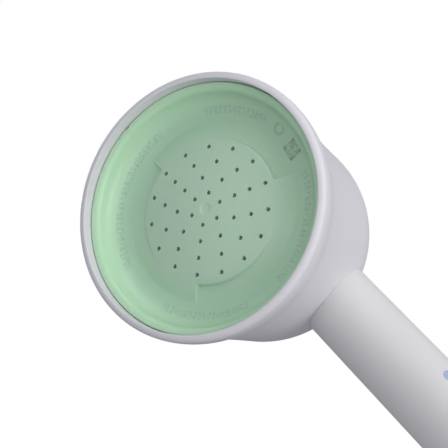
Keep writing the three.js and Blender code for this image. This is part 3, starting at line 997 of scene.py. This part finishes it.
def plate_body():
    rings = plate_radii()
    front = [[face_depth(radius, turn) for turn in PLATE_TURNS] for radius in rings]
    back = [[depth + THICKNESS for depth in depths] for depths in front]
    loops = [[(0, 0, -face_depth(0, 0))]]
    loops += [plate_loop(radius, depths) for radius, depths in zip(rings, front)]
    loops += [plate_loop(radius, [depth] * len(PLATE_TURNS)) for radius, depth in plate_outside()]
    loops += [plate_loop(radius, depths) for radius, depths in zip(rings[::-1], back[::-1])]
    loops.append([(0, 0, -face_depth(0, 0) - THICKNESS)])
    return loft(loops)


print("the plate's outer profile has", len(plate_outside()), "points")

# %% [markdown]
# ### Holes, lugs and index notch
#
# The 42 jets lie on four rings with 6, 9, 12 and 15 holes, and every ring starts on the same line
# as the first ramp. The edge of a moulded hole is never quite sharp, so the tool that cuts it
# widens over the last tenth of a millimetre. Behind the plate, three lugs on its skirt turn into the
# locking ring, and a small notch in the edge shows how far the plate has turned.

# %% Spray plate
HOLE_RINGS = (6, 9, 12, 15)
RING_STEP = 4.97
HOLE_RADIUS = 0.65
LUG = {"outer": 34.3, "front": 15.3, "back": 16.9, "span": 28}
LUG_CLOCK = PLATE_CLOCK + 60


def jets():
    tools = []
    for ring, count in enumerate(HOLE_RINGS, start=1):
        radius = RING_STEP * ring
        z = -dome_depth(radius)
        mouth = [(HOLE_RADIUS, z - 0.1), (HOLE_RADIUS + 0.1, z + 0.01), (HOLE_RADIUS + 0.3, z + 1)]
        profile = [(0, z - 5), (HOLE_RADIUS, z - 5), *mouth, (0, z + 1)]
        tools.append(around(count, radius, lathe(profile, 14), PLATE_CLOCK))
    return together(*tools)


def lug(third):
    root, middle = SKIRT["outer"] - 0.6, LUG_CLOCK + 120 * third
    return sector(root, LUG["outer"], -LUG["back"], -LUG["front"], middle, LUG["span"])


def spray_face():
    lugs = together(*(lug(third) for third in range(3)))
    notch = sector(EDGE_RADIUS - 0.6, EDGE_RADIUS + 1, -4.4, -3, PLATE_CLOCK - 5, 2.4, 4)
    return cut(joined(plate_body(), lugs), jets(), notch)


make("spray_face", spray_face(), plate_green, "spray_plate", HEAD, "plate")

# %% [markdown]
# ## Rubber rings and sleeves
#
# Every joint that holds water has a moulded rubber ring. A real one shows a hair-thin parting line
# round its outside and its inside, where the two halves of the mould met, so the round section
# carries a tiny ridge there. The two seals on the water tube are sleeves with three lips. The size
# of each one is measured from its plain ring.

# %% Rubber rings
FLASH = 0.03  # height of the parting line


def o_ring(size, sides=128, around_wire=24):
    wire = (size.high - size.low) / 2
    centre = size.radius - wire
    middle = (size.high + size.low) / 2
    section = []
    for i in range(around_wire):
        turn = tau * i / around_wire
        reach = wire + (FLASH if i % (around_wire // 2) == 0 else 0)
        section.append((centre + reach * cos(turn), middle + reach * sin(turn)))
    return lathe(section, sides)


def lipped_sleeve(size, inner):
    """A sleeve of rubber with three lips on its outside and smooth inside."""
    lips = 3
    pitch = (size.high - size.low) / lips
    outside = []
    for i in range(lips):
        foot = size.low + i * pitch
        outside += [(size.radius - 0.35, foot + 0.05), (size.radius, foot + pitch / 2)]
        outside.append((size.radius - 0.35, foot + pitch - 0.05))
    return lathe(softened([(inner, size.low), *outside, (inner, size.high)], 0.15), 64)


def rubber_ring(name, node, place=UPRIGHT, body="housing"):
    make(name, o_ring(measured(node, place)), rubber, node, place, body)


rubber_ring("face_seal", "plate_o_ring", HEAD, "plate")
rubber_ring("cup_seal", "cartridge_o_ring", HEAD)
rubber_ring("shank_seal", "nipple_o_ring")
rubber_ring("flow_limiter_ring", "flow_regulator_ring")
for end in ("upper", "lower"):
    node = f"tube_{end}_seal"
    form = lipped_sleeve(measured(node), 5.3)
    make(f"riser_{end}_seal", form, rubber, node)

# %% [markdown]
# ## Bayonet ring
#
# The ring is pressed into the bell and never turns. Three gaps let the lugs of the spray plate in,
# and behind them each lug turns under the ring's lip until it meets an end stop. It is drawn as a
# turned ring with rounded corners, and the stops and gaps repeat three times.

# %% Bayonet ring
TWIST = max(twist["range_deg"])  # degrees from locked to free
RING = {"inner": 33.0, "outer": 35.8, "front": 13.5, "lip_back": 15.0, "back": 17.3, "pocket": 34.6}
STOP_SPAN = 6


def bayonet():
    front, lip_back, back = -RING["front"], -RING["lip_back"], -RING["back"]
    inner, outer, pocket = RING["inner"], RING["outer"], RING["pocket"]
    profile = [(inner, front), (outer, front), (outer, back)]
    profile += [(pocket, back), (pocket, lip_back), (inner, lip_back)]
    ring = lathe(softened(profile, 0.2), 192)
    reach = LUG["span"] / 2 + 1 + STOP_SPAN / 2
    stops, gaps = [], []
    for third in range(3):
        locked = LUG_CLOCK + 120 * third
        free = locked + TWIST
        for middle in (locked - reach, free + reach):
            stops.append(sector(inner, pocket + 0.4, back, lip_back + 0.2, middle, STOP_SPAN))
        gaps.append(sector(inner - 1, pocket, lip_back - 0.1, front + 1, free, LUG["span"] + 3))
    return cut(joined(ring, together(*stops)), together(*gaps))


make("locking_ring", bayonet(), milky, "bayonet_ring", HEAD)

# %% [markdown]
# ## Support sieve
#
# The sieve spreads the water over the whole spray plate. It is a thin disc with rings of small
# holes, and the number of holes in a ring grows with its radius, so they stay evenly spaced.

# %% Support sieve
SIEVE_STEP = 4.1
SIEVE_HOLE = 1.35


def flat_disc(size, corner=0.25, sides=128):
    profile = [(0, size.low), (size.radius, size.low), (size.radius, size.high), (0, size.high)]
    return lathe(softened(profile, corner), sides)


def hole_rings(size, rings, step, hole, sides=14):
    """Rods on rings round the axis, six more on each ring, that pass right through a disc."""
    tool = rod(hole, size.low - 1, size.high + 1, sides)
    numbers = range(1, rings + 1)
    return together(*(around(6 * ring, step * ring, tool, 7 * ring) for ring in numbers))


def sieve():
    size = measured("support_grid", HEAD)
    return cut(flat_disc(size), hole_rings(size, 7, SIEVE_STEP, SIEVE_HOLE))


make("support_sieve", sieve(), milky, "support_grid", HEAD)

# %% [markdown]
# ## Filter cartridge
#
# The cartridge is a clear cup full of hollow fibres. Every fibre is bent into a U, and its two ends
# are set in a disc of resin that is sliced open, so that water enters through the wall of a fibre
# and leaves through its end. The bundle is drawn fibre by fibre: nested arches stand in parallel
# planes, and each one sways a little by a seeded random amount, as real fibres do.

# %% Filter fibres
FIBRE = {"radius": 0.5, "step": 1.55, "sway": 0.35}


def fibre_path(half_width, offset, foot, height, sway):
    """One U-shaped fibre: up a leg, over an arch and down the other leg."""
    straight = foot - 0.45 * height
    top = foot - height
    steps = 10
    points = [(half_width, offset, foot)]
    for i in range(steps + 1):
        turn = pi * i / steps
        z = straight + (top - straight) * sin(turn)
        points.append((half_width * cos(turn) + sway[0] * sin(turn), offset + sway[1] * sin(turn), z))
    points.append((-half_width, offset, foot))
    return points


def fibres():
    size = measured("fibre_bundle", HEAD)
    chance = random.Random(7)
    reach = size.radius - FIBRE["radius"] - FIBRE["sway"] - 0.6
    depth = size.high - size.low - FIBRE["radius"]
    planes = int(reach / FIBRE["step"])
    forms = []
    for plane in range(-planes, planes + 1):
        offset = plane * FIBRE["step"]
        widest = sqrt(reach**2 - offset**2)
        count = int(widest / FIBRE["step"])
        for i in range(1, count + 1):
            half_width = widest * i / max(count, 1)
            lean = hypot(half_width, offset) / reach
            height = depth * (0.30 + 0.66 * half_width / reach) * (1 - 0.18 * lean**4)
            sway = [chance.uniform(-1, 1) * FIBRE["sway"] for _ in range(2)]
            path = fibre_path(half_width, offset, size.high, height, sway)
            forms.append(swept(path, FIBRE["radius"], 6))
    print("fibres in the bundle:", len(forms))
    return together(*forms)


make("filter_fibres", fibres(), fibre, "fibre_bundle", HEAD)

# %% [markdown]
# ### Resin disc, cup and spreader
#
# Water reaches the fibres through eight ports in the floor of the cup. The spreader stands on three
# feet behind it, and its smaller holes break up the jet that comes from the handle. All three are
# turned forms with rounded corners, and the ports are one rod repeated round the axis.

# %% Resin, cup and spreader
CUP = {"wall": 1.4, "base": 1.6, "drain": 8.0, "end": 30.2, "shoulder": 26.5}
PORTS = {"count": 8, "circle": 20.0, "cup_hole": 3.6, "spreader_hole": 1.8}
SPREADER = {"thickness": 1.6, "foot_radius": 1.6, "foot_circle": 13}


def filter_cup():
    size = measured("cartridge_cup", HEAD)
    mouth, front, back = size.radius, size.high, size.low
    shoulder, end, wall, base = -CUP["shoulder"], CUP["end"], CUP["wall"], CUP["base"]
    outside = [(mouth, front), (mouth, shoulder), (end, back), (CUP["drain"], back)]
    inside = [(CUP["drain"], back + base), (end - wall, back + base)]
    inside += [(mouth - wall, shoulder), (mouth - wall, front)]
    cup = lathe(softened([*outside, *inside], 0.6, 5), 128)
    port = rod(PORTS["cup_hole"], back - 1, back + base + 1, 32)
    return cut(cup, around(PORTS["count"], PORTS["circle"], port))


def spreader():
    size = measured("baffle_plate", HEAD)
    disc_front = size.low + SPREADER["thickness"]
    disc = flat_disc(Size(size.low, disc_front, size.radius), 0.3)
    root, radius = disc_front - 0.4, SPREADER["foot_radius"]
    foot = lathe(softened([(0, root), (radius, root), (radius, size.high), (0, size.high)]), 24)
    feet = around(3, SPREADER["foot_circle"], foot, 30)
    port = rod(PORTS["spreader_hole"], size.low - 1, disc_front + 1, 24)
    return cut(joined(disc, feet), around(PORTS["count"], PORTS["circle"], port))


potting = flat_disc(measured("potting_disc", HEAD), 0.2)
make("potting", potting, resin, "potting_disc", HEAD)
make("filter_cup", filter_cup(), clear, "cartridge_cup", HEAD)
make("spreader", spreader(), milky, "baffle_plate", HEAD)

# %% [markdown]
# ## Hose nipple and water tube
#
# The hose screws on a moulded half-inch pipe thread. A real thread is one continuous ridge and not
# a stack of rings, so its radius is worked out from both the height and the angle of a point. It
# starts and ends by sinking gently into the shank.

# %% Hose nipple
THREAD = {"root": 9.32, "crest": 10.48, "pitch": 1.814, "start": 0.9, "turns": 6}
COLLAR = {"low": 12.7, "high": 14.6, "radius": 11.2}
SHANK = {"radius": 9.2, "groove": 8.0, "groove_low": 34.0, "groove_high": 35.6, "top": 44.0}
WEB = {"low": 29.5, "high": 31.0, "radius": 5.2}
BORE = 7.4


def thread_radius(z, turn):
    """The ridge has straight flanks and a narrow flat at its crest and its root."""
    share = ((z - THREAD["start"]) / THREAD["pitch"] - turn / tau) % 1
    ridge = min(max(1.45 * (1 - abs(2 * share - 1)) - 0.2, 0), 1)
    end = THREAD["start"] + THREAD["turns"] * THREAD["pitch"]
    fade = eased((z - THREAD["start"] + 0.4) / 0.9) * eased((end + 0.2 - z) / 0.9)
    return THREAD["root"] + (THREAD["crest"] - THREAD["root"]) * ridge * fade


def thread_loops(sides):
    turns = [tau * i / sides for i in range(sides)]
    count = int((COLLAR["low"] - 0.6) / 0.1)
    loops = []
    for i in range(count):
        z = 0.5 + 0.1 * i
        radii = [thread_radius(z, turn) for turn in turns]
        loops.append([(r * cos(turn), r * sin(turn), z) for r, turn in zip(radii, turns)])
    return loops


def nipple(sides=96):
    foot = [(BORE + 0.4, 0), (THREAD["root"] - 0.5, 0), (THREAD["root"], 0.45)]
    shank, groove = SHANK["radius"], SHANK["groove"]
    upper = [(THREAD["root"], COLLAR["low"]), (COLLAR["radius"], COLLAR["low"])]
    upper += [(COLLAR["radius"], COLLAR["high"]), (shank, COLLAR["high"])]
    upper += [(shank, SHANK["groove_low"]), (groove, SHANK["groove_low"])]
    upper += [(groove, SHANK["groove_high"]), (shank, SHANK["groove_high"]), (shank, SHANK["top"])]
    upper += [(SOCKET["radius"], SHANK["top"]), (SOCKET["radius"], WEB["high"])]
    upper += [(WEB["radius"], WEB["high"]), (WEB["radius"], WEB["low"]), (BORE, WEB["low"])]
    rounded = softened([*upper, (BORE, 0.4)], 0.2)[4:-4]
    loops = [circle(r, z, sides) for r, z in foot]
    loops += thread_loops(sides)
    loops += [circle(r, z, sides) for r, z in [*rounded, (BORE, 0.4)]]
    return loft(loops, ring=True)


def riser(sides=64):
    size = measured("water_tube")
    inner = 3.9
    profile = [(inner, size.low), (size.radius, size.low), (size.radius, size.high), (inner, size.high)]
    return lathe(softened(profile, 0.25), sides)


make("hose_nipple", nipple(), nipple_white, "inlet_nipple")
make("riser_tube", riser(), clear, "water_tube")

# %% [markdown]
# ## Strainer, flow limiter and check valve
#
# These three sit one above the other in the nipple's bore. The strainer is a steel disc with fine
# holes, pressed in a rim. The flow limiter is a rubber ring on a seat, which swells as the pressure
# rises and so keeps the flow even. The check valve is a poppet that slides in a caged guide against
# a light spring.

# %% Strainer and flow limiter
INSERT_RADIUS = 7.05


def strainer():
    size = measured("inlet_strainer")
    rim_profile = [(5.6, size.low), (INSERT_RADIUS, size.low)]
    rim_profile += [(INSERT_RADIUS, size.high), (5.6, size.high)]
    sheet = Size(1.4, 2.2, 5.8)
    holes = hole_rings(sheet, 6, 0.85, 0.27, 8)
    return joined(cut(flat_disc(sheet, 0.1, 64), holes), lathe(softened(rim_profile, 0.15), 64))


def flow_limiter():
    size = measured("flow_regulator_body")
    floor_top = size.low + 1.4
    profile = [(0, size.low), (INSERT_RADIUS, size.low), (INSERT_RADIUS, size.high), (6, size.high)]
    profile += [(6, floor_top), (2.2, floor_top), (2.2, size.high - 0.2), (0, size.high - 0.2)]
    port = rod(0.7, size.low - 1, floor_top + 1, 16)
    return cut(lathe(softened(profile, 0.2), 64), around(6, 3.6, port))


make("inlet_sieve", strainer(), steel, "inlet_strainer")
make("flow_limiter", flow_limiter(), blue, "flow_regulator_body")

# %% [markdown]
# ### Check valve
#
# Water pushes the poppet off its seat, and the spring puts it back, so nothing runs back into the
# hose. The cage holds the seat and, on six spokes, the guide of the poppet's stem. The poppet and
# its seal ride on a body of their own, so the joint lifts them and leaves the cage where it is.

# %% Check valve
SEAT = {"bore": 3.9, "top": 9.2}
CAGE_BORE = 5.9
HUB = {"low": 24.0, "high": 25.6, "radius": 2.6, "guide": 1.5, "spoke": 1.2}
STEM_RADIUS = 1.2


def valve_cage():
    size = measured("check_valve_cage")
    profile = [(SEAT["bore"], size.low), (INSERT_RADIUS, size.low), (INSERT_RADIUS, size.high)]
    profile += [(CAGE_BORE, size.high), (CAGE_BORE, SEAT["top"]), (SEAT["bore"], SEAT["top"])]
    cage = lathe(softened(profile, 0.2), 64)
    middle = (CAGE_BORE + HUB["radius"]) / 2
    half_length = (CAGE_BORE - HUB["radius"]) / 2 + 0.3
    half_width = HUB["spoke"] / 2
    inner, outer = middle - half_length, middle + half_length
    beam = [(inner, -half_width), (outer, -half_width), (outer, half_width), (inner, half_width)]
    section = softened(beam, 0.15)
    levels = (HUB["low"], HUB["high"])
    loops = [[(x, y, z) for x, y in section] for z in levels]
    caps = [[(middle, 0, z)] for z in levels]
    spoke = loft([caps[0], *loops, caps[1]])
    hub = flat_disc(Size(HUB["low"], HUB["high"], HUB["radius"]), 0.2, 48)
    guide = rod(HUB["guide"], HUB["low"] - 1, HUB["high"] + 1, 32)
    return cut(joined(cage, hub, around(6, 0, spoke)), guide)


def poppet():
    size = measured("check_valve_poppet")
    disc_low, disc_high, disc_radius = 10.5, 11.7, size.radius
    profile = [(0, size.low), (1.3, size.low + 0.3), (2.7, size.low + 1.2), (2.7, disc_low)]
    profile += [(disc_radius, disc_low), (disc_radius, disc_high), (2.2, disc_high + 0.5)]
    profile += [(STEM_RADIUS, disc_high + 1.4), (STEM_RADIUS, size.high), (0, size.high)]
    return lathe(softened(profile, 0.25), 64)


def poppet_seal():
    size = measured("poppet_seal")
    profile = [(3.0, size.high), (3.0, size.low + 0.25), (size.radius - 0.6, size.low)]
    profile += [(size.radius, size.low + 0.1), (size.radius, size.high)]
    return lathe(softened(profile, 0.12), 64)


make("valve_cage", valve_cage(), blue, "check_valve_cage")
make("valve_poppet", poppet(), milky, "check_valve_poppet", body="poppet")
make("valve_face_seal", poppet_seal(), rubber, "poppet_seal", body="poppet")

# %% [markdown]
# ### Valve spring
#
# A compression spring has a closed turn at each end so that it stands flat, and open turns between.
# The pitch therefore isn't even: it eases in and out. When the valve opens the spring gets shorter by
# as much as the poppet travels, and the share of its length that it then keeps is worked out.

# %% Valve spring
SPRING = {"radius": 3.3, "wire": 0.35, "turns": 8, "steps": 28}


def spring(size):
    low, high = size.low + SPRING["wire"], size.high - SPRING["wire"]
    count = SPRING["turns"] * SPRING["steps"]
    path = []
    for i in range(count + 1):
        share = i / count
        turn = tau * SPRING["turns"] * share
        rise = low + (high - low) * (0.10 * share + 0.90 * eased((share - 0.08) / 0.84))
        path.append((SPRING["radius"] * cos(turn), SPRING["radius"] * sin(turn), rise))
    return swept(path, SPRING["wire"], 12)


valve_slide = next(joint for joint in frame["joints"] if joint["name"] == "check_valve_slide")
travel = max(valve_slide["range_m"]) / MM
spring_size = measured("check_valve_spring")
keep = 1 - travel / (spring_size.high - spring_size.low)
coil = make("valve_spring", spring(spring_size), steel, "check_valve_spring")
spring_size.high * MM
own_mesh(coil)
print("the spring keeps", round(keep, 2), "of its length when the valve is open")

# %% [markdown]
# ## Camera
#
# The camera looks up into the spray plate, 30 degrees off the spray direction. A short lens would
# widen the near side of the rim, so a long one is used from further away. Its place is worked out
# from three angles in the head's frame, and no target object or constraint is needed.

# %% Camera
OFF_AXIS, SIDE_TURN, ROLL = 30.3, -73.7, 24.4  # degrees
LOOK_AT = (11.06, -1.9)  # millimetres from the centre of the rim, towards the camera and across
DISTANCE = 0.589  # metres
FOCAL_LENGTH = 160.7  # millimetres, on a sensor 36 wide


def studio_frame():
    """Right, up and back directions of the camera, and the point it looks at."""
    off, turn, roll = radians(OFF_AXIS), radians(SIDE_TURN), radians(ROLL)
    toward = side * cos(turn) + away * sin(turn)
    across = away * cos(turn) - side * sin(turn)
    back = spray * cos(off) + toward * sin(off)
    level = toward * cos(off) - spray * sin(off)
    right = across * sin(roll) + level * cos(roll)
    up = across * cos(roll) - level * sin(roll)
    target = rim_centre + (toward * LOOK_AT[0] + across * LOOK_AT[1]) * MM
    return right, up, back, target


right, up, back, target = studio_frame()
lens = bpy.data.cameras.new("camera")
lens.lens = FOCAL_LENGTH
lens.sensor_width = 36
camera = bpy.data.objects.new("camera", lens)
bpy.context.scene.collection.objects.link(camera)
camera.matrix_world = Matrix((right, up, back)).transposed().to_4x4()
camera.location = target + back * DISTANCE
bpy.context.scene.camera = camera
print("camera at, mm:", [round(x / MM) for x in camera.location])

# %% [markdown]
# ## Light
#
# A white object shows its shape only by its shading, so the light is soft but comes mainly from one
# side. Four round soft boxes stand in front: two on the right, one beside the camera and one above.
# A fifth lights the back. They are placed from the camera's own directions, as in a studio. The
# world adds an even, slightly cool light, and is plain white where the camera sees it.

# %% Lights
LAMP_DISTANCE = 1.2  # metres
LAMP_SIZE = 0.8
LAMP_COLOUR = (1.0, 0.99, 0.975)


def softbox(name, direction, power):
    """A round area light. The direction counts right, up and back from the object."""
    r, u, b = direction
    way = (right * r + up * u + back * b).normalized()
    light = bpy.data.lights.new(name, "AREA")
    light.shape = "DISK"
    light.size = LAMP_SIZE
    light.energy = power
    light.color = LAMP_COLOUR
    lamp = bpy.data.objects.new(name, light)
    bpy.context.scene.collection.objects.link(lamp)
    lamp.location = target + way * LAMP_DISTANCE
    lamp.rotation_mode = "QUATERNION"
    lamp.rotation_quaternion = way.to_track_quat("Z", "Y")
    lamp.visible_camera = False
    print("soft box", name, "of", power, "watts")


softbox("right", (0.85, 0.6, 0.25), 2.6)
softbox("front_right", (0.72, 0.1, 0.68), 6.6)
softbox("front", (-0.1, 0.1, 1.0), 3.9)
softbox("top", (0.0, 1.0, 0.4), 2.3)
softbox("behind", (-0.5, 0.35, -1.0), 7.0)


def surroundings():
    """White to the camera, and a dimmer, even light on the object."""
    world = bpy.data.worlds.new("surroundings")
    world.use_nodes = True
    nodes, links = world.node_tree.nodes, world.node_tree.links
    nodes.clear()
    path = nodes.new("ShaderNodeLightPath")
    mix = nodes.new("ShaderNodeMixShader")
    seen = nodes.new("ShaderNodeBackground")
    even = nodes.new("ShaderNodeBackground")
    even.inputs["Color"].default_value = (0.90, 0.90, 1.0, 1)
    even.inputs["Strength"].default_value = 0.34
    seen.inputs["Color"].default_value = (1, 1, 1, 1)
    end = nodes.new("ShaderNodeOutputWorld")
    links.new(path.outputs["Is Camera Ray"], mix.inputs[0])
    links.new(even.outputs[0], mix.inputs[1])
    links.new(seen.outputs[0], mix.inputs[2])
    links.new(mix.outputs[0], end.inputs["Surface"])
    bpy.context.scene.world = world


surroundings()
bpy.context.scene.view_settings.view_transform = "Standard"

# %% [markdown]
# ## Floor
#
# The floor is a plain painted sheet far below, so that no edge of it comes into the picture. Seen
# directly it glows a little, as a lit studio floor does, but it throws back only ordinary light.

# %% Floor
FLOOR_LEVEL = -1.5  # metres
FLOOR_REACH = 5.0


def floor():
    shader = Shader("floor_paint")
    seen = shader.node("LightPath", output="Is Camera Ray")
    paint = shader.finished(
        Base_Color=shader.mixed(shader.noise(180, 3), (0.80, 0.80, 0.80), (0.83, 0.83, 0.83)),
        Roughness=0.7 + 0.1 * shader.noise(40, 2),
        Emission_Color=shader.mixed(seen, (0, 0, 0), (0.60, 0.60, 0.60)),
        Emission_Strength=1.0,
    )
    mesh = bpy.data.meshes.new("floor")
    signs = ((-1, -1), (1, -1), (1, 1), (-1, 1))
    corners = [(x * FLOOR_REACH, y * FLOOR_REACH, FLOOR_LEVEL) for x, y in signs]
    mesh.from_pydata(corners, [], [(0, 1, 2, 3)])
    mesh.materials.append(paint)
    ground = bpy.data.objects.new("floor", mesh)
    bpy.context.scene.collection.objects.link(ground)


floor()

# %% [markdown]
# ## The fine model's size
#
# The fine model has to fill the same box as the engineering model.
